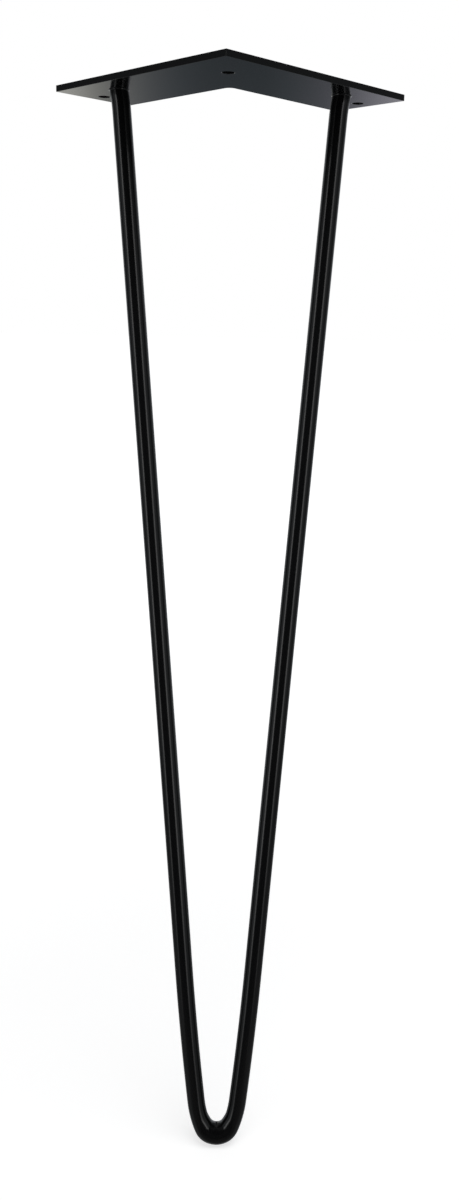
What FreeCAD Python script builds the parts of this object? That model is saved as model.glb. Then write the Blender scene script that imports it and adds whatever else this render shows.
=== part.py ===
import FreeCAD, Part
import math
import os
import Sketcher

# Hairpin table leg, in millimetres.
# An L-shaped steel plate is screwed to the underside of a table top. One round bar, bent into a
# hairpin, is welded to the plate by its two ends and stands on the floor with its bend.
#
# Frame: the origin is the centre of the corner screw hole on the plate's upper face, +Z points up
# into the table, +Y points from the plate's outer corner towards the middle of the table, and the
# leg is symmetrical about the YZ plane.

driving_sizes = {
    "arm_length": 160.0,
    "arm_width": 60.0,
    "plate_thickness": 4.0,
    "inner_corner_radius": 4.0,
    "edge_break": 0.4,
    "hole_diameter": 7.5,
    "hole_edge_distance": 30.0,
    "hole_end_distance": 11.5,
    "rod_diameter": 12.0,
    "rod_along_arm": 122.5,
    "rod_edge_distance": 22.0,
    "leg_drop": 700.0,
    "foot_setback": 36.5,
    "bend_radius": 10.5,
    "shoulder_radius": 75.0,
    "shoulder_rise": 25.0,
    "sweep_radius": 2500.0,
    "sweep_rise": 120.0,
    "flare_radius": 120.0,
    "flare_drop": 14.0,
    "end_drop": 4.0,
    "weld_leg": 1.0,
}

# Two lengths in millimetres closer than this count as the same.
same_length = 0.001

doc = FreeCAD.newDocument("hairpin_table_leg")
sheet = doc.addObject("Spreadsheet::Sheet", "Sizes")
for row, (name, value) in enumerate(driving_sizes.items(), start=1):
    sheet.set("A%d" % row, name)
    sheet.set("B%d" % row, str(value))
    sheet.setAlias("B%d" % row, name)
doc.recompute()


def size(name):
    return float(sheet.get(name))


def origin_plane(body, role):
    return next(plane for plane in body.Origin.OriginFeatures if plane.Role == role)


def new_body(name):
    body = doc.addObject("PartDesign::Body", name)
    body.Label = name
    return body


def new_sketch(body, name, role):
    sketch = body.newObject("Sketcher::SketchObject", name)
    sketch.AttachmentSupport = [(origin_plane(body, role), "")]
    sketch.MapMode = "FlatFace"
    return sketch


def dimension(sketch, name, expression, *constraint):
    index = sketch.addConstraint(Sketcher.Constraint(*constraint))
    sketch.renameConstraint(index, name)
    sketch.setExpression("Constraints." + name, expression)


def closed_outline(sketch, points):
    vectors = [FreeCAD.Vector(x, y, 0) for x, y in points]
    count = len(vectors)
    for index in range(count):
        sketch.addGeometry(Part.LineSegment(vectors[index], vectors[(index + 1) % count]), False)
    for index in range(count):
        following = (index + 1) % count
        sketch.addConstraint(Sketcher.Constraint("Coincident", index, 2, following, 1))


def cut_above_slant(sketch, reach, angle):
    """Rectangle whose lower side passes through the sketch's origin at the given angle."""
    along = FreeCAD.Vector(math.cos(angle), math.sin(angle), 0)
    across = FreeCAD.Vector(-math.sin(angle), math.cos(angle), 0)
    near = [along * -reach, along * reach]
    far = [near[1] + across * reach, near[0] + across * reach]
    closed_outline(sketch, [(corner.x, corner.y) for corner in near + far])
    sketch.addConstraint(Sketcher.Constraint("Symmetric", 0, 1, 0, 2, -1, 1))
    sketch.addConstraint(Sketcher.Constraint("Perpendicular", 0, 1))
    sketch.addConstraint(Sketcher.Constraint("Parallel", 0, 2))
    sketch.addConstraint(Sketcher.Constraint("Parallel", 1, 3))


def edges_that(shape, test):
    return ["Edge%d" % number for number, edge in enumerate(shape.Edges, start=1) if test(edge)]


# Places that the pieces share.
# The two bar ends sit on the arms, mirrored about the YZ plane. The bar's own plane runs from the
# line between its ends down to the foot, and leans out towards the plate's corner.

diagonal = math.sqrt(2.0)
plate_corner_y = -size("hole_edge_distance") * diagonal
half_span = (size("rod_along_arm") - size("rod_edge_distance")) / diagonal
ends_setback = (size("rod_along_arm") + size("rod_edge_distance")) / diagonal
lean_run = ends_setback - size("foot_setback")
lean = math.atan2(lean_run, size("leg_drop"))
slant_length = math.hypot(lean_run, size("leg_drop"))

half_span_text = "(Sizes.rod_along_arm - Sizes.rod_edge_distance) / sqrt(2)"
lean_run_text = "((Sizes.rod_along_arm + Sizes.rod_edge_distance) / sqrt(2) - Sizes.foot_setback)"
slant_text = "sqrt(Sizes.leg_drop ^ 2 + " + lean_run_text + " ^ 2)"
lean_text = "atan(" + lean_run_text + " / Sizes.leg_drop)"


# Mounting plate: flat L cut from sheet steel, its outer corner turned 45 degrees to face -Y.

def make_plate():
    body = new_body("mounting_plate")
    length = size("arm_length")
    width = size("arm_width")

    outline = new_sketch(body, "PlateOutline", "XY_Plane")
    right_arm = [(0, 0), (length, 0), (length, width)]
    left_arm = [(width, width), (width, length), (0, length)]
    closed_outline(outline, right_arm + left_arm)
    outline.addConstraint(Sketcher.Constraint("Coincident", 0, 1, -1, 1))
    for index in (0, 2, 4):
        outline.addConstraint(Sketcher.Constraint("Horizontal", index))
    for index in (1, 3, 5):
        outline.addConstraint(Sketcher.Constraint("Vertical", index))
    dimension(outline, "right_arm_length", "Sizes.arm_length", "DistanceX", 0, 1, 0, 2, length)
    dimension(outline, "right_arm_width", "Sizes.arm_width", "DistanceY", 1, 1, 1, 2, width)
    dimension(outline, "left_arm_length", "Sizes.arm_length", "DistanceY", 0, 1, 4, 2, length)
    dimension(outline, "left_arm_width", "Sizes.arm_width", "DistanceX", 4, 2, 4, 1, width)

    sheet_metal = body.newObject("PartDesign::Pad", "PlateSheet")
    sheet_metal.Profile = outline
    sheet_metal.Reversed = True
    sheet_metal.setExpression("Length", "Sizes.plate_thickness")
    doc.recompute()

    def is_inner_corner(edge):
        middle = edge.CenterOfMass
        return abs(middle.x - width) < same_length and abs(middle.y - width) < same_length

    corner = body.newObject("PartDesign::Fillet", "InnerCorner")
    corner.Base = (sheet_metal, edges_that(sheet_metal.Shape, is_inner_corner))
    corner.setExpression("Radius", "Sizes.inner_corner_radius")
    doc.recompute()

    centres = new_sketch(body, "HoleCentres", "XY_Plane")
    diameter = size("hole_diameter")
    inset = size("hole_edge_distance")
    far = length - size("hole_end_distance")
    places = [(inset, inset), (far, inset), (inset, far)]
    for x, y in places:
        circle = Part.Circle(FreeCAD.Vector(x, y, 0), FreeCAD.Vector(0, 0, 1), diameter / 2)
        centres.addGeometry(circle, False)
    inset_text = "Sizes.hole_edge_distance"
    far_text = "Sizes.arm_length - Sizes.hole_end_distance"
    texts = [(inset_text, inset_text), (far_text, inset_text), (inset_text, far_text)]
    hole_names = ["corner", "right", "left"]
    for index, (hole_name, (x, y), (x_text, y_text)) in enumerate(zip(hole_names, places, texts)):
        dimension(centres, hole_name + "_x", x_text, "DistanceX", -1, 1, index, 3, x)
        dimension(centres, hole_name + "_y", y_text, "DistanceY", -1, 1, index, 3, y)
        dimension(centres, hole_name + "_size", "Sizes.hole_diameter", "Diameter", index, diameter)
    doc.recompute()

    holes = body.newObject("PartDesign::Hole", "ScrewHoles")
    holes.Profile = centres
    doc.recompute()
    holes.ThreadType = "None"
    holes.HoleCutType = "None"
    holes.DepthType = "ThroughAll"
    holes.DrillPoint = "Flat"
    holes.setExpression("Diameter", "Sizes.hole_diameter")
    doc.recompute()

    def is_rim(edge):
        flat = abs(edge.BoundBox.ZLength) < same_length
        is_round = isinstance(edge.Curve, Part.Circle)
        is_hole = is_round and abs(edge.Curve.Radius - diameter / 2) < same_length
        return flat and not is_hole

    rim = body.newObject("PartDesign::Chamfer", "EdgeBreak")
    rim.Base = (holes, edges_that(holes.Shape, is_rim))
    rim.setExpression("Size", "Sizes.edge_break")

    body.Placement = FreeCAD.Placement(
        FreeCAD.Vector(0, plate_corner_y, 0),
        FreeCAD.Rotation(FreeCAD.Vector(0, 0, 1), 45),
    )
    body.setExpression(".Placement.Base.y", "-Sizes.hole_edge_distance * sqrt(2)")
    return body


# Hairpin bar: one tight bend at the foot, then on each side a shoulder, a long faint sweep, a
# straight run, and a slight flare outwards just under the plate, where it ends straight. Its own
# frame has +Z up the leg, +X across it, and its origin midway between the two bar ends. Turns are
# counted from the lowest point of the bend.

def arc_turns(angle):
    """Turns at which the bend and the shoulder end, where the straight runs have this angle."""
    bend = size("bend_radius")
    shoulder = size("shoulder_radius")
    sweep_height = size("sweep_rise") - size("shoulder_rise")
    shoulder_cosine = sweep_height / size("sweep_radius") + math.sin(angle)
    bend_cosine = (size("shoulder_rise") - bend + shoulder * shoulder_cosine) / (shoulder - bend)
    return math.acos(bend_cosine), math.acos(shoulder_cosine)


def end_angle(angle):
    """Angle of the flared end to the leg's middle line, where the straight runs have this angle."""
    return math.asin(math.sin(angle) + (size("flare_drop") - size("end_drop")) / size("flare_radius"))


def flare_reach(angle):
    """How far the flare and the straight end carry a bar outwards."""
    end = end_angle(angle)
    return size("flare_radius") * (math.cos(angle) - math.cos(end)) + size("end_drop") * math.tan(end)


def run_angle():
    """Angle between a straight run and the leg's middle line, from the bar's own sizes."""
    bend = size("bend_radius")
    shoulder = size("shoulder_radius")
    sweep = size("sweep_radius")
    rise = size("sweep_rise")

    def miss(angle):
        bend_turn, shoulder_turn = arc_turns(angle)
        shoulder_start = bend * math.sin(bend_turn)
        sweep_start = shoulder_start + shoulder * (math.sin(shoulder_turn) - math.sin(bend_turn))
        run_start = sweep_start + sweep * (math.cos(angle) - math.sin(shoulder_turn))
        run_height = slant_length - rise - size("flare_drop")
        return run_start + run_height * math.tan(angle) + flare_reach(angle) - half_span

    close_enough = 1e-10
    low = 0.0
    high = math.asin(1 - size("shoulder_rise") / shoulder - (rise - size("shoulder_rise")) / sweep)
    while high - low > close_enough:
        middle = (low + high) / 2
        if miss(middle) > 0:
            high = middle
        else:
            low = middle
    return (low + high) / 2


run_tilt = run_angle()
end_tilt = end_angle(run_tilt)


def make_rod():
    body = new_body("hairpin_rod")
    bend = size("bend_radius")
    shoulder = size("shoulder_radius")
    sweep = size("sweep_radius")
    bar = size("rod_diameter")
    up = FreeCAD.Vector(0, 0, 1)

    bend_turn, shoulder_turn = arc_turns(run_tilt)
    bend_outward = FreeCAD.Vector(math.sin(bend_turn), -math.cos(bend_turn), 0)
    shoulder_outward = FreeCAD.Vector(math.sin(shoulder_turn), -math.cos(shoulder_turn), 0)
    run_outward = FreeCAD.Vector(math.cos(run_tilt), -math.sin(run_tilt), 0)
    bend_centre = FreeCAD.Vector(0, bend - slant_length, 0)
    shoulder_centre = bend_centre + bend_outward * (bend - shoulder)
    sweep_centre = shoulder_centre + shoulder_outward * (shoulder - sweep)
    run_start = sweep_centre + run_outward * sweep
    flare = size("flare_radius")
    flare_drop = size("flare_drop")
    end_drop = size("end_drop")
    run_end = FreeCAD.Vector(half_span - flare_reach(run_tilt), -flare_drop, 0)
    flare_centre = run_end + run_outward * flare
    end_start = FreeCAD.Vector(half_span - end_drop * math.tan(end_tilt), -end_drop, 0)
    overrun = 2 * bar
    end_end = FreeCAD.Vector(half_span + overrun * math.tan(end_tilt), overrun, 0)

    path = new_sketch(body, "HalfPath", "XZ_Plane")
    down = -math.pi / 2
    bend_circle = Part.Circle(bend_centre, up, bend)
    shoulder_circle = Part.Circle(shoulder_centre, up, shoulder)
    sweep_circle = Part.Circle(sweep_centre, up, sweep)
    flare_circle = Part.Circle(flare_centre, up, flare)
    path.addGeometry(Part.ArcOfCircle(bend_circle, down, down + bend_turn), False)
    path.addGeometry(Part.ArcOfCircle(shoulder_circle, down + bend_turn, down + shoulder_turn), False)
    path.addGeometry(Part.ArcOfCircle(sweep_circle, down + shoulder_turn, -run_tilt), False)
    path.addGeometry(Part.LineSegment(run_start, run_end), False)
    path.addGeometry(Part.ArcOfCircle(flare_circle, math.pi - end_tilt, math.pi - run_tilt), False)
    path.addGeometry(Part.LineSegment(end_start, end_end), False)
    path.addGeometry(Part.Point(FreeCAD.Vector(half_span, 0, 0)), True)
    path.addConstraint(Sketcher.Constraint("PointOnObject", 0, 1, -2))
    path.addConstraint(Sketcher.Constraint("PointOnObject", 0, 3, -2))
    path.addConstraint(Sketcher.Constraint("Tangent", 0, 2, 1, 1))
    path.addConstraint(Sketcher.Constraint("Tangent", 1, 2, 2, 1))
    path.addConstraint(Sketcher.Constraint("Tangent", 2, 2, 3, 1))
    path.addConstraint(Sketcher.Constraint("Tangent", 3, 2, 4, 2))
    path.addConstraint(Sketcher.Constraint("Tangent", 4, 1, 5, 1))
    path.addConstraint(Sketcher.Constraint("PointOnObject", 6, 1, -1))
    path.addConstraint(Sketcher.Constraint("PointOnObject", 6, 1, 5))
    shoulder_rise = size("shoulder_rise")
    sweep_rise = size("sweep_rise")
    dimension(path, "slant_length", slant_text, "DistanceY", 0, 1, -1, 1, slant_length)
    dimension(path, "bend_radius", "Sizes.bend_radius", "Radius", 0, bend)
    dimension(path, "shoulder_radius", "Sizes.shoulder_radius", "Radius", 1, shoulder)
    dimension(path, "sweep_radius", "Sizes.sweep_radius", "Radius", 2, sweep)
    dimension(path, "shoulder_rise", "Sizes.shoulder_rise", "DistanceY", 0, 1, 1, 2, shoulder_rise)
    dimension(path, "sweep_rise", "Sizes.sweep_rise", "DistanceY", 0, 1, 2, 2, sweep_rise)
    dimension(path, "flare_radius", "Sizes.flare_radius", "Radius", 4, flare)
    dimension(path, "flare_drop", "Sizes.flare_drop", "DistanceY", 4, 2, -1, 1, flare_drop)
    dimension(path, "end_drop", "Sizes.end_drop", "DistanceY", 4, 1, -1, 1, end_drop)
    dimension(path, "half_span", half_span_text, "DistanceX", -1, 1, 6, 1, half_span)
    dimension(path, "overrun", "2 * Sizes.rod_diameter", "DistanceY", -1, 1, 5, 2, overrun)

    section = new_sketch(body, "BarSection", "YZ_Plane")
    section.addGeometry(Part.Circle(FreeCAD.Vector(0, -slant_length, 0), up, bar / 2), False)
    section.addConstraint(Sketcher.Constraint("PointOnObject", 0, 3, -2))
    dimension(section, "depth", slant_text, "DistanceY", 0, 3, -1, 1, slant_length)
    dimension(section, "bar_diameter", "Sizes.rod_diameter", "Diameter", 0, bar)
    doc.recompute()

    half = body.newObject("PartDesign::AdditivePipe", "HalfBar")
    half.Profile = section
    half.Spine = (path, ["Edge%d" % number for number in range(1, 7)])
    doc.recompute()

    whole = body.newObject("PartDesign::Mirrored", "BothHalves")
    whole.Originals = [half]
    whole.MirrorPlane = (origin_plane(body, "YZ_Plane"), [""])
    body.Tip = whole
    doc.recompute()

    # The ends are sawn at a slant, so that they lie flat against the underside of the plate.
    saw = new_sketch(body, "SawnEnds", "YZ_Plane")
    reach = 4 * bar
    cut_above_slant(saw, reach, lean)
    dimension(saw, "slant", lean_text, "Angle", -1, 1, 0, 1, lean)
    dimension(saw, "saw_width", "8 * Sizes.rod_diameter", "Distance", 0, 2 * reach)
    dimension(saw, "saw_height", "4 * Sizes.rod_diameter", "Distance", 1, reach)
    doc.recompute()

    trim = body.newObject("PartDesign::Pocket", "EndTrim")
    trim.Profile = saw
    trim.Midplane = True
    trim.setExpression("Length", "4 * " + half_span_text)
    body.Tip = trim
    doc.recompute()
    if not trim.Shape.Volume < whole.Shape.Volume:
        raise RuntimeError("the bar ends were not trimmed")

    body.Placement = FreeCAD.Placement(
        FreeCAD.Vector(0, plate_corner_y + ends_setback, -size("plate_thickness")),
        FreeCAD.Rotation(FreeCAD.Vector(1, 0, 0), -math.degrees(lean)),
    )
    return body


# Weld bead: a small fillet all round the bar end, against the underside of the plate.
# Its own frame has its origin at the middle of the bar end and +X towards the side where the bar
# leans over.

def make_weld(name, side):
    body = new_body(name)
    bar = size("rod_diameter")
    toe = bar / 2 + size("weld_leg")
    toe_text = "Sizes.rod_diameter / 2 + Sizes.weld_leg"
    bar_axis = FreeCAD.Vector(
        side * math.sin(end_tilt),
        math.cos(end_tilt) * math.sin(lean),
        math.cos(end_tilt) * math.cos(lean),
    )

    # A cone hangs from the plate, and the bar takes away all of it but the fillet.
    section = new_sketch(body, name + "_section", "XZ_Plane")
    closed_outline(section, [(0, 0), (toe, 0), (0, -toe)])
    section.addConstraint(Sketcher.Constraint("Coincident", 0, 1, -1, 1))
    section.addConstraint(Sketcher.Constraint("Horizontal", 0))
    section.addConstraint(Sketcher.Constraint("Vertical", 2))
    dimension(section, "toe_radius", toe_text, "DistanceX", 0, 1, 0, 2, toe)
    dimension(section, "cone_depth", toe_text, "DistanceY", 1, 2, 0, 1, toe)
    doc.recompute()

    cone = body.newObject("PartDesign::Revolution", name + "_cone")
    cone.Profile = section
    cone.ReferenceAxis = (section, ["V_Axis"])
    cone.Angle = 360.0
    doc.recompute()

    hole = new_sketch(body, name + "_bar_hole", "XY_Plane")
    lean_over = FreeCAD.Rotation(FreeCAD.Vector(0, 1, 0), math.degrees(math.acos(bar_axis.z)))
    hole.AttachmentOffset = FreeCAD.Placement(FreeCAD.Vector(0, 0, 0), lean_over)
    hole.addGeometry(Part.Circle(FreeCAD.Vector(0, 0, 0), FreeCAD.Vector(0, 0, 1), bar / 2), False)
    hole.addConstraint(Sketcher.Constraint("Coincident", 0, 3, -1, 1))
    dimension(hole, "bar_diameter", "Sizes.rod_diameter", "Diameter", 0, bar)
    doc.recompute()

    fillet = body.newObject("PartDesign::Pocket", name + "_fillet")
    fillet.Profile = hole
    fillet.Midplane = True
    fillet.setExpression("Length", "4 * (" + toe_text + ")")
    body.Tip = fillet
    doc.recompute()
    if not fillet.Shape.Volume < cone.Shape.Volume:
        raise RuntimeError(name + " was not cut by the bar")

    azimuth = math.degrees(math.atan2(bar_axis.y, bar_axis.x))
    body.Placement = FreeCAD.Placement(
        FreeCAD.Vector(side * half_span, plate_corner_y + ends_setback, -size("plate_thickness")),
        FreeCAD.Rotation(FreeCAD.Vector(0, 0, 1), azimuth),
    )
    return body


sub_parts = [
    make_plate(),
    make_rod(),
    make_weld("weld_bead_left", -1),
    make_weld("weld_bead_right", 1),
]

doc.recompute()
for item in doc.Objects:
    if "Invalid" in item.State or "Error" in item.State:
        raise RuntimeError("%s could not be built: %s" % (item.Name, item.State))

os.makedirs("parts", exist_ok=True)
for part in sub_parts:
    if part.Shape.isNull() or not part.Shape.isValid():
        raise RuntimeError("%s has no valid shape" % part.Label)
    if len(part.Shape.Solids) != 1:
        raise RuntimeError("%s has %d solids" % (part.Label, len(part.Shape.Solids)))
for part in sub_parts:
    part.Shape.exportStep("parts/%s.step" % part.Label)
    box = part.Shape.BoundBox
    print("%s: volume %.1f mm3, x %.2f to %.2f, y %.2f to %.2f, z %.2f to %.2f" % (
        part.Label, part.Shape.Volume, box.XMin, box.XMax, box.YMin, box.YMax, box.ZMin, box.ZMax))
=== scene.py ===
import math

import bmesh
import bpy
from mathutils import Matrix, Vector


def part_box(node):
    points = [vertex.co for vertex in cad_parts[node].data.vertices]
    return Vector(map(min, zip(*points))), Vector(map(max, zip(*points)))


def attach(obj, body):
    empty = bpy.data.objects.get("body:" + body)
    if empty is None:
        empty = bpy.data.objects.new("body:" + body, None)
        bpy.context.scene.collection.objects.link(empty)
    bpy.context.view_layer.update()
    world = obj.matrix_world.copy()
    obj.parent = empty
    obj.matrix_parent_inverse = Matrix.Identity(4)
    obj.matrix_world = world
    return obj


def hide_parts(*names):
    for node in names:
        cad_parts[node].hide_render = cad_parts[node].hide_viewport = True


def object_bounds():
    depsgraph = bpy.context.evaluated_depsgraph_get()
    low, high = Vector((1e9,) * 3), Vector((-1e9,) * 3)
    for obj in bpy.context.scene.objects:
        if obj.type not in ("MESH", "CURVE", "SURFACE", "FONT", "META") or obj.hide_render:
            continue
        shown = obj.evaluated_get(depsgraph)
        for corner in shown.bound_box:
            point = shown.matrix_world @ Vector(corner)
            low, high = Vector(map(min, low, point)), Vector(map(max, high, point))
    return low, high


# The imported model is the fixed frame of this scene: metres, +Z up into the table top, +Y from the
# plate's outer corner towards the middle of the table.
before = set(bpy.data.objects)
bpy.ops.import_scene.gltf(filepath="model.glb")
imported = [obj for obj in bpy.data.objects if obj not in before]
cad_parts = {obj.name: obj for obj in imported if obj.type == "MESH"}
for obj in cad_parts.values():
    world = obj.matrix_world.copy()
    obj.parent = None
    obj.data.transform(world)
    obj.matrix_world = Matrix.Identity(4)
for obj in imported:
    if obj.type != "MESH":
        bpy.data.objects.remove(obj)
size_of_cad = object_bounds()
bpy.ops.object.select_all(action="DESELECT")


# Mounting plate.
# An L cut from 4 mm steel sheet, with three plain screw holes and a small radius in the inner
# corner. It is painted with the bar already welded on, so one coat of paint covers everything.

MM = 0.001


def pick(piece):
    """Select one piece alone and make it the active one."""
    bpy.ops.object.select_all(action="DESELECT")
    piece.select_set(True)
    bpy.context.view_layer.objects.active = piece


def start_edit(piece):
    """Open one piece in edit mode with nothing selected in its mesh."""
    pick(piece)
    bpy.ops.object.mode_set(mode="EDIT")
    bpy.ops.mesh.select_all(action="DESELECT")
    return bmesh.from_edit_mesh(piece.data)


def select_faces(mesh, wanted):
    """Select the faces for which wanted(face) is true."""
    bpy.ops.mesh.select_mode(type="FACE")
    for face in mesh.faces:
        face.select_set(wanted(face))


def select_edges(mesh, wanted):
    """Select the edges for which wanted(edge) is true."""
    bpy.ops.mesh.select_mode(type="EDGE")
    for edge in mesh.edges:
        edge.select_set(wanted(edge))


def apply_modifiers(piece):
    """Write all modifiers of one piece into its mesh."""
    pick(piece)
    for modifier in list(piece.modifiers):
        bpy.ops.object.modifier_apply(modifier=modifier.name)


def apply_place(piece):
    """Write the place, turn and scale of one piece into its mesh."""
    pick(piece)
    bpy.ops.object.transform_apply(location=True, rotation=True, scale=True)


plate_low, plate_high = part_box("mounting_plate")
plate_thickness = plate_high.z - plate_low.z
plate_corner = Vector((0, plate_low.y, plate_high.z))
arm_length = (plate_high.x - plate_low.x) / math.sqrt(2)
arm_width = 60 * MM
inner_corner_radius = 4 * MM
hole_radius = 3.75 * MM
hole_edge_distance = 30 * MM
hole_end_distance = 11.5 * MM
painted_edge_radius = 0.4 * MM
inner_corner_steps = 10
painted_edge_steps = 3
hole_sides = 64
sharp_edge = math.radians(40)
nearly = 0.99

# The corner block comes first, and the two arms are pulled out of its two inner faces.
block_middle = Vector((arm_width / 2, arm_width / 2, -plate_thickness / 2))
bpy.ops.mesh.primitive_cube_add(size=1, location=block_middle)
plate = bpy.context.active_object
plate.name = "plate"
plate.scale = (arm_width, arm_width, plate_thickness)
apply_place(plate)
for direction in (Vector((1, 0, 0)), Vector((0, 1, 0))):
    mesh = start_edit(plate)
    select_faces(mesh, lambda face: face.normal.dot(direction) > nearly
                 and face.calc_center_median().dot(direction) > nearly * arm_width
                 and face.calc_center_median().dot(direction.yxz) < arm_width)
    bpy.ops.mesh.extrude_region_move(
        TRANSFORM_OT_translate={"value": direction * (arm_length - arm_width)})
    bpy.ops.object.mode_set(mode="OBJECT")

# The edge in the inner corner of the L is rounded.
inner_corner = Vector((arm_width, arm_width, -plate_thickness / 2))
mesh = start_edit(plate)
select_edges(mesh, lambda edge: (sum((vertex.co for vertex in edge.verts), Vector()) / 2
                                 - inner_corner).length < MM)
bpy.ops.mesh.bevel(offset=inner_corner_radius, segments=inner_corner_steps, affect="EDGES")
bpy.ops.object.mode_set(mode="OBJECT")

# Each hole is drilled with a round cutter, and every edge is softened as a coat of paint
# softens it.
far_hole = arm_length - hole_end_distance
for hole_x, hole_y in ((hole_edge_distance, hole_edge_distance), (far_hole, hole_edge_distance),
                       (hole_edge_distance, far_hole)):
    bpy.ops.mesh.primitive_cylinder_add(
        vertices=hole_sides, radius=hole_radius, depth=3 * plate_thickness,
        location=(hole_x, hole_y, -plate_thickness / 2))
    drill = bpy.context.active_object
    cut = plate.modifiers.new("drilled hole", "BOOLEAN")
    cut.operation = "DIFFERENCE"
    cut.solver = "EXACT"
    cut.object = drill
    apply_modifiers(plate)
    bpy.data.objects.remove(drill)
edge_round = plate.modifiers.new("painted edges", "BEVEL")
edge_round.width = painted_edge_radius
edge_round.segments = painted_edge_steps
edge_round.limit_method = "ANGLE"
edge_round.angle_limit = sharp_edge
edge_round.harden_normals = True
pick(plate)
bpy.ops.object.shade_smooth()
apply_modifiers(plate)

# The finished L is turned 45 degrees, so that its outer corner faces -Y.
plate.rotation_euler = (0, 0, math.radians(45))
plate.location = plate_corner
apply_place(plate)


def linear(hex_colour):
    """Linear colour of an sRGB hex value such as '1A2B3C'."""
    channels = [int(hex_colour[start:start + 2], 16) / 255 for start in (0, 2, 4)]
    return [c / 12.92 if c <= 0.04045 else ((c + 0.055) / 1.055) ** 2.4 for c in channels] + [1.0]


def add_node(tree, kind, settings=None, links=None):
    """Add one node, set its properties and input values, and link its inputs by name or number."""
    node = tree.nodes.new(kind)
    for key, value in (settings or {}).items():
        if key in node.inputs:
            node.inputs[key].default_value = value
        else:
            setattr(node, key, value)
    for key, source in (links or {}).items():
        tree.links.new(source, node.inputs[key])
    return node


# Semi-gloss black paint, sprayed on steel and stoved. The film is smooth enough to mirror what is
# near it at a grazing view, with a very faint orange peel that only shows in the highlights. The
# upper face, which the table top hides, only catches dry overspray and stays dull.
black_paint = bpy.data.materials.new("semi_gloss_black_paint")
black_paint.use_nodes = True
tree = black_paint.node_tree
tree.nodes.clear()
orange_peel_size = 1.5 * MM
orange_peel_height = 0.02 * MM
gloss_roughness = 0.16
overspray_roughness = 0.65
overspray_begins = plate_high.z - 0.2 * MM
overspray_full = plate_high.z - 0.05 * MM
place = add_node(tree, "ShaderNodeTexCoord")
peel = add_node(tree, "ShaderNodeTexNoise", {"Scale": 1 / orange_peel_size, "Detail": 1.0},
                {"Vector": place.outputs["Object"]})
relief = add_node(tree, "ShaderNodeBump", {"Strength": 0.04, "Distance": orange_peel_height},
                  {"Height": peel.outputs["Fac"]})
heights = add_node(tree, "ShaderNodeSeparateXYZ", None, {"Vector": place.outputs["Object"]})
dullness = add_node(tree, "ShaderNodeMapRange",
                    {"From Min": overspray_begins, "From Max": overspray_full,
                     "To Min": gloss_roughness, "To Max": overspray_roughness},
                    {"Value": heights.outputs["Z"]})
paint = add_node(tree, "ShaderNodeBsdfPrincipled",
                 {"Base Color": linear("101011"), "IOR": 1.5},
                 {"Normal": relief.outputs["Normal"], "Roughness": dullness.outputs["Result"]})
add_node(tree, "ShaderNodeOutputMaterial", None, {"Surface": paint.outputs["BSDF"]})


def paint_black(piece):
    """Give one piece the black paint and nothing else."""
    piece.data.materials.clear()
    piece.data.materials.append(black_paint)


paint_black(plate)
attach(plate, "root")
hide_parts("mounting_plate")


# Hairpin bar.
# One 12 mm round steel bar, bent cold: it flares a little just under the plate, then runs straight
# into a faint sweep, a shoulder, and one tight bend that stands on the floor. It leans out towards
# the plate's corner as it goes down.

bar_radius = 6 * MM
bend_radius = 10.5 * MM
shoulder_radius = 75 * MM
sweep_radius = 2500 * MM
flare_radius = 120 * MM
bend_turn = math.radians(68.80649)
shoulder_turn = math.radians(83.24795)
run_tilt = math.radians(4.56402)
end_tilt = math.radians(9.37563)
flare_drop = 14 * MM
leg_drop = 700 * MM
foot_setback = 36.5 * MM
quarter_turn = math.radians(90)
bar_end_along_arm = 122.5 * MM
bar_end_across_arm = 22 * MM
ends_setback = (bar_end_along_arm + bar_end_across_arm) / math.sqrt(2)
lean = math.atan2(ends_setback - foot_setback, leg_drop)
slant_length = math.hypot(ends_setback - foot_setback, leg_drop)
ends_middle = Vector((0, plate_low.y + ends_setback, plate_low.z))
overrun = 4 * bar_radius
bar_sides = 96
bend_steps = 48
shoulder_steps = 16
sweep_steps = 12
flare_steps = 6

# A ring at the lowest point is spun round the bend, the shoulder and the sweep, pulled up straight,
# spun the other way for the flare, and pulled on past the plate. Its own frame is the plane of the
# bar, with +Z up the leg, and each turn is counted from the lowest point.
bpy.ops.mesh.primitive_circle_add(
    vertices=bar_sides, radius=bar_radius, location=(0, 0, -slant_length),
    rotation=(0, quarter_turn, 0))
bar = bpy.context.active_object
bar.name = "bar"
apply_place(bar)
start_edit(bar)
bpy.ops.mesh.select_all(action="SELECT")
arc_centre = Vector((0, 0, bend_radius - slant_length))
arc_radius = bend_radius
turned = 0
for steps, radius, turn in ((bend_steps, bend_radius, bend_turn),
                            (shoulder_steps, shoulder_radius, shoulder_turn),
                            (sweep_steps, sweep_radius, quarter_turn - run_tilt)):
    outward = Vector((math.sin(turned), 0, -math.cos(turned)))
    arc_centre = arc_centre + outward * (arc_radius - radius)
    bpy.ops.mesh.spin(steps=steps, angle=turn - turned, center=arc_centre, axis=(0, 1, 0))
    arc_radius = radius
    turned = turn
run_outward = Vector((math.cos(run_tilt), 0, -math.sin(run_tilt)))
run_start = arc_centre + run_outward * sweep_radius
run_direction = Vector((math.sin(run_tilt), 0, math.cos(run_tilt)))
run_length = (-flare_drop - run_start.z) / math.cos(run_tilt)
run = run_direction * run_length
bpy.ops.mesh.extrude_region_move(TRANSFORM_OT_translate={"value": run})
flare_centre = run_start + run + run_outward * flare_radius
bpy.ops.mesh.spin(steps=flare_steps, angle=end_tilt - run_tilt, center=flare_centre,
                  axis=(0, -1, 0))
end_direction = Vector((math.sin(end_tilt), 0, math.cos(end_tilt)))
bpy.ops.mesh.extrude_region_move(TRANSFORM_OT_translate={"value": end_direction * overrun})
bpy.ops.object.mode_set(mode="OBJECT")
other_half = bar.modifiers.new("other half", "MIRROR")
other_half.use_axis = (True, False, False)
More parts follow.
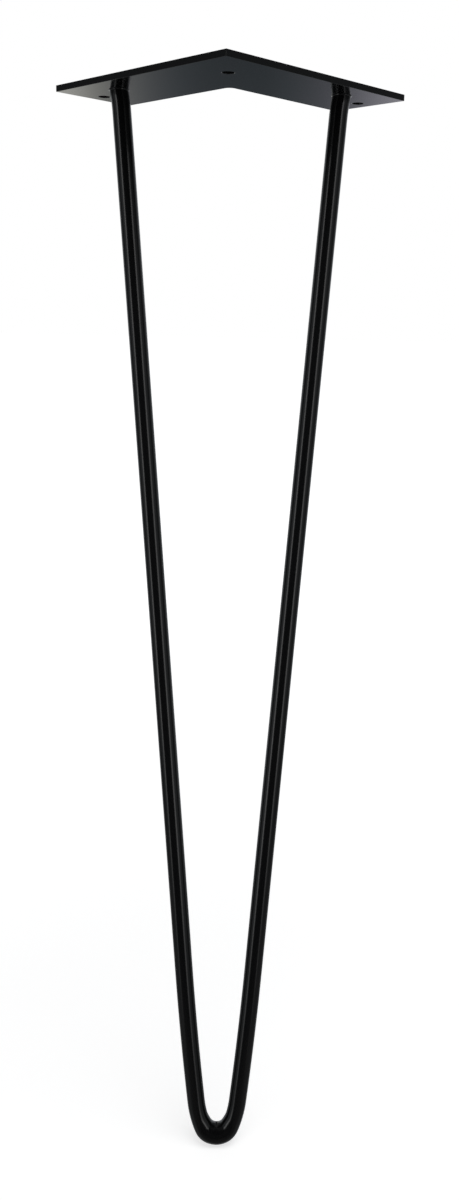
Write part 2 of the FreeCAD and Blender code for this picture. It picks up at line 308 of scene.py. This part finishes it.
other_half.merge_threshold = 0.01 * MM
apply_modifiers(bar)

# So tight a cold bend squeezes the metal, and the bar swells there, most of all round the lowest
# point. It is lifted by as much as it swells, which keeps its foot on the floor.
swelling = 1.1 * MM
swollen_sector = math.radians(27)
swelling_reach = 10.5 * MM
mesh = start_edit(bar)
bpy.ops.mesh.select_all(action="SELECT")
bpy.ops.mesh.normals_make_consistent(inside=False)
bpy.ops.mesh.select_mode(type="VERT")
for vertex in mesh.verts:
    turn = math.atan2(abs(vertex.co.x), bend_radius - slant_length - vertex.co.z)
    vertex.select_set(turn < swollen_sector)
fading = {"use_proportional_edit": True, "proportional_edit_falloff": "SMOOTH",
          "proportional_size": swelling_reach}
bpy.ops.transform.translate(value=(0, 0, swelling / math.cos(lean)), **fading)
bpy.ops.transform.shrink_fatten(value=swelling, **fading)
bpy.ops.object.mode_set(mode="OBJECT")


def saw_flat():
    """Saw the piece in edit mode off flat under the plate, and leave edit mode."""
    bpy.ops.mesh.select_all(action="SELECT")
    bpy.ops.mesh.bisect(plane_co=(0, 0, plate_low.z), plane_no=(0, 0, 1), clear_outer=True,
                        use_fill=True)
    bpy.ops.mesh.select_all(action="SELECT")
    bpy.ops.mesh.normals_make_consistent(inside=False)
    bpy.ops.object.mode_set(mode="OBJECT")
    bpy.ops.object.shade_smooth_by_angle(angle=sharp_edge)


# The bar leans over, and its ends are sawn off.
bar.rotation_euler = (-lean, 0, 0)
bar.location = ends_middle
apply_place(bar)
start_edit(bar)
saw_flat()
paint_black(bar)
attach(bar, "root")
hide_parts("hairpin_rod")


# Weld beads.
# A small fillet of weld metal runs once round each bar end, where it meets the plate. The welder's
# steps leave faint ripples in it, which the paint half fills.

bead_radius = 0.7 * MM
bead_ripples = 28
ripple_height = 0.03 * MM
rings_per_ripple = 3
bead_rings = rings_per_ripple * bead_ripples
bead_sides = 24
half_span = (bar_end_along_arm - bar_end_across_arm) / math.sqrt(2)
for side, node in ((-1, "weld_bead_left"), (1, "weld_bead_right")):
    bar_end = Vector((side * half_span, ends_middle.y, plate_low.z))
    bpy.ops.mesh.primitive_torus_add(
        location=bar_end, major_radius=bar_radius, minor_radius=bead_radius,
        major_segments=bead_rings, minor_segments=bead_sides)
    bead = bpy.context.active_object
    bead.name = node.removeprefix("weld_")
    apply_place(bead)
    mesh = start_edit(bead)
    bpy.ops.mesh.select_mode(type="VERT")
    for vertex in mesh.verts:
        turn = math.atan2(vertex.co.y - bar_end.y, vertex.co.x - bar_end.x)
        ring = round(turn / math.tau * bead_rings)
        vertex.select_set(ring % rings_per_ripple == 0)
    bpy.ops.transform.shrink_fatten(value=-ripple_height)
    saw_flat()
    paint_black(bead)
    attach(bead, "root")
    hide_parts(node)


# Floor.
# A plain pale floor under the foot. It looks white to the camera except where the leg shades it,
# the paint doesn't mirror it, and from below it is seen through.

floor_level = size_of_cad[0][2]
floor_width = 40
shaded_radius = 0.75
white_radius = 1.6
lift_at_foot = 0.74
bpy.ops.mesh.primitive_plane_add(size=1, location=(0, 0, floor_level))
floor = bpy.context.active_object
floor.name = "floor"
floor.scale = (floor_width, floor_width, 1)
apply_place(floor)
pale_floor = bpy.data.materials.new("pale_studio_floor")
pale_floor.use_nodes = True
tree = pale_floor.node_tree
tree.nodes.clear()
matt = add_node(tree, "ShaderNodeBsdfDiffuse", {"Color": linear("D0D0D0")})
place = add_node(tree, "ShaderNodeTexCoord")
from_foot = add_node(tree, "ShaderNodeVectorMath", {"operation": "LENGTH"},
                     {"Vector": place.outputs["Object"]})
whitening = add_node(tree, "ShaderNodeMapRange",
                     {"From Min": shaded_radius, "From Max": white_radius,
                      "To Min": lift_at_foot, "To Max": 1.0},
                     {"Value": from_foot.outputs["Value"]})
lift = add_node(tree, "ShaderNodeEmission", {"Color": linear("FFFFFF")},
                {"Strength": whitening.outputs["Result"]})
both = add_node(tree, "ShaderNodeAddShader", None,
                {0: matt.outputs["BSDF"], 1: lift.outputs["Emission"]})
looker = add_node(tree, "ShaderNodeLightPath")
seen = add_node(tree, "ShaderNodeMixShader", None,
                {"Fac": looker.outputs["Is Camera Ray"], 1: matt.outputs["BSDF"],
                 2: both.outputs["Shader"]})
underside = add_node(tree, "ShaderNodeNewGeometry")
clear = add_node(tree, "ShaderNodeBsdfTransparent")
one_sided = add_node(tree, "ShaderNodeMixShader", None,
                     {"Fac": underside.outputs["Backfacing"], 1: seen.outputs["Shader"],
                      2: clear.outputs["BSDF"]})
add_node(tree, "ShaderNodeOutputMaterial", None, {"Surface": one_sided.outputs["Shader"]})
floor.data.materials.append(pale_floor)
floor.visible_glossy = False


# Studio.
# A dim, faintly tinted room with a tall soft box on each side of the camera and one large soft lamp
# overhead. The camera sees plain white behind the leg, and the paint mirrors the lit room.

room = bpy.data.worlds.new("studio_room")
bpy.context.scene.world = room
room.use_nodes = True
tree = room.node_tree
tree.nodes.clear()
camera_heading = math.radians(88.35)
looking = add_node(tree, "ShaderNodeTexCoord")
heading = add_node(tree, "ShaderNodeVectorRotate",
                   {"rotation_type": "Z_AXIS", "Angle": -camera_heading},
                   {"Vector": looking.outputs["Generated"]})
parts = add_node(tree, "ShaderNodeSeparateXYZ", None, {"Vector": heading.outputs["Vector"]})
bearing = add_node(tree, "ShaderNodeMath", {"operation": "ARCTAN2"},
                   {0: parts.outputs["Y"], 1: parts.outputs["X"]})
round_room = add_node(tree, "ShaderNodeMapRange",
                      {"From Min": -math.pi, "From Max": math.pi, "To Min": 1.0, "To Max": 0.0},
                      {"Value": bearing.outputs["Value"]})
up_room = add_node(tree, "ShaderNodeMapRange", {"From Min": -1.0, "From Max": 1.0},
                   {"Value": parts.outputs["Z"]})

# Bearings are in degrees round the leg, as seen in the photograph: 0 is straight behind it, + is to
# the right, and 180 is behind the camera. The room stays where it is in every other view. Heights
# are the sine of the angle above the horizon.
walls_by_bearing = (
    (-180, 0.04), (-155, 0.04), (-140, 0.07), (-122, 0.30), (-100, 0.30), (-92, 0.09),
    (-76, 0.09), (-68, 0.30), (-30, 0.70), (-13, 1.10), (-11.5, 0.86), (-10, 0.44),
    (-8, 0.22), (-6.5, 0.13), (-4.5, 0.09), (-1, 0.085), (0.7, 0.13), (2, 0.16),
    (3, 0.23), (5, 0.49), (6.5, 0.70), (10, 0.95), (30, 0.65), (60, 0.26),
    (72, 0.26), (80, 0.11), (96, 0.11), (104, 0.26), (122, 0.20), (134, 0.07),
    (150, 0.04), (180, 0.04),
)
walls_by_height = (
    (-1, 0.5), (-0.75, 0.5), (-0.59, 0.25), (-0.44, 0.4), (-0.31, 1.0), (0.26, 1.0),
    (0.31, 0.3), (1, 0.3),
)
tints_by_bearing = (
    (-180, (0.95, 1.0, 1.04)), (-30, (0.95, 1.0, 1.04)), (-13, (1.0, 1.0, 0.93)),
    (-9.5, (1.0, 1.0, 0.94)), (-7.5, (0.96, 1.0, 1.05)), (-6, (0.88, 1.0, 1.11)),
    (-1, (0.85, 1.0, 1.12)), (0.7, (0.91, 1.0, 1.12)), (2, (0.98, 1.0, 1.15)),
    (5, (1.02, 1.0, 1.12)), (8, (1.0, 1.0, 1.05)), (30, (0.95, 1.0, 1.04)),
    (180, (0.95, 1.0, 1.04)),
)
boxes_by_bearing = (
    (-180, 0), (-139.5, 0), (-137, 1.6), (-127, 1.6), (-123, 0), (118, 0),
    (130, 0.5), (134, 1.6), (142, 1.6), (145, 0), (180, 0),
)
boxes_by_height = (
    (-1, 0), (-0.52, 0), (-0.42, 0.35), (-0.32, 0.7), (-0.24, 1.0), (0.33, 1.0),
    (0.36, 0), (1, 0),
)
glow_by_height = (
    (-1, 0.07), (-0.5, 0.07), (-0.38, 0), (0.85, 0), (0.97, 0.05), (1, 0.05),
)

# Each table becomes one ramp, from the first place of the room to the last.
ramps = []
for fraction, first, last, levels in (
        (round_room, -180, 180, walls_by_bearing), (up_room, -1, 1, walls_by_height),
        (round_room, -180, 180, tints_by_bearing), (round_room, -180, 180, boxes_by_bearing),
        (up_room, -1, 1, boxes_by_height), (up_room, -1, 1, glow_by_height)):
    ramp = add_node(tree, "ShaderNodeValToRGB", None, {"Fac": fraction.outputs["Result"]})
    stops = ramp.color_ramp.elements
    for number, (spot, level) in enumerate(levels):
        position = (spot - first) / (last - first)
        if number == 0:
            stop = stops[0]
        elif number == len(levels) - 1:
            stop = stops[-1]
        else:
            stop = stops.new(position)
        stop.position = position
        stop.color = (*level, 1) if isinstance(level, tuple) else (level, level, level, 1)
    ramps.append(ramp.outputs["Color"])
walls_round, walls_up, tints_round, boxes_round, boxes_up, glow_up = ramps
walls = add_node(tree, "ShaderNodeVectorMath", {"operation": "MULTIPLY"},
                 {0: walls_round, 1: walls_up})
tinted_walls = add_node(tree, "ShaderNodeVectorMath", {"operation": "MULTIPLY"},
                        {0: walls.outputs["Vector"], 1: tints_round})
boxes = add_node(tree, "ShaderNodeVectorMath", {"operation": "MULTIPLY"},
                 {0: boxes_round, 1: boxes_up})
dim_room = add_node(tree, "ShaderNodeVectorMath", {"operation": "ADD"},
                    {0: glow_up, 1: tinted_walls.outputs["Vector"]})
lit_room = add_node(tree, "ShaderNodeVectorMath", {"operation": "ADD"},
                    {0: dim_room.outputs["Vector"], 1: boxes.outputs["Vector"]})
studio = add_node(tree, "ShaderNodeBackground", None, {"Color": lit_room.outputs["Vector"]})
white = add_node(tree, "ShaderNodeBackground", {"Color": linear("FFFFFF"), "Strength": 1.0})
looker = add_node(tree, "ShaderNodeLightPath")
plain = add_node(tree, "ShaderNodeMath", {"operation": "MAXIMUM"},
                 {0: looker.outputs["Is Camera Ray"], 1: looker.outputs["Is Transmission Ray"]})
sky = add_node(tree, "ShaderNodeMixShader", None,
               {"Fac": plain.outputs["Value"], 1: studio.outputs["Background"],
                2: white.outputs["Background"]})
add_node(tree, "ShaderNodeOutputWorld", None, {"Surface": sky.outputs["Shader"]})

lamp_place = Vector((0.3, -0.5, 1.6))
lamp_aim = Vector((0, 0, -0.4))
lamp_width = 1.6
lamp_power = 22
bpy.ops.object.light_add(type="AREA", location=lamp_place)
overhead = bpy.context.active_object
overhead.name = "overhead_soft_box"
overhead.data.shape = "DISK"
overhead.data.size = lamp_width
overhead.data.energy = lamp_power
overhead.rotation_euler = (lamp_aim - lamp_place).to_track_quat("-Z", "Y").to_euler()
overhead.visible_camera = False
overhead.visible_glossy = False


# Camera.
# It stands a little below the plate in front of its outer corner, and looks slightly down. The
# photograph is cropped off centre, which the two shifts follow. The focal length and the lens axis
# are in pixels of the photograph.

image_width = 459
image_height = 1200
focal_length = 1068.3
lens_axis_x = 283.4
lens_axis_y = 499.6
sensor_width = 36
nearest_seen = 10 * MM
camera_place = Vector((0.0185, -0.6592, -0.1394))
camera_pitch = math.radians(-10.10)
camera_roll = math.radians(1.20)
aim = (Matrix.Rotation(camera_heading - quarter_turn, 3, "Z")
       @ Matrix.Rotation(camera_pitch + quarter_turn, 3, "X")
       @ Matrix.Rotation(camera_roll, 3, "Z"))
bpy.ops.object.camera_add(location=camera_place, rotation=aim.to_euler())
camera = bpy.context.active_object
camera.data.sensor_width = sensor_width
camera.data.lens = focal_length * sensor_width / image_height
camera.data.shift_x = (image_width / 2 - lens_axis_x) / image_height
camera.data.shift_y = (lens_axis_y - image_height / 2) / image_height
camera.data.clip_start = nearest_seen
bpy.context.scene.camera = camera
bpy.context.scene.view_settings.view_transform = "Standard"


# Sizes.
# The view layer is brought up to date.

bpy.context.view_layer.update()
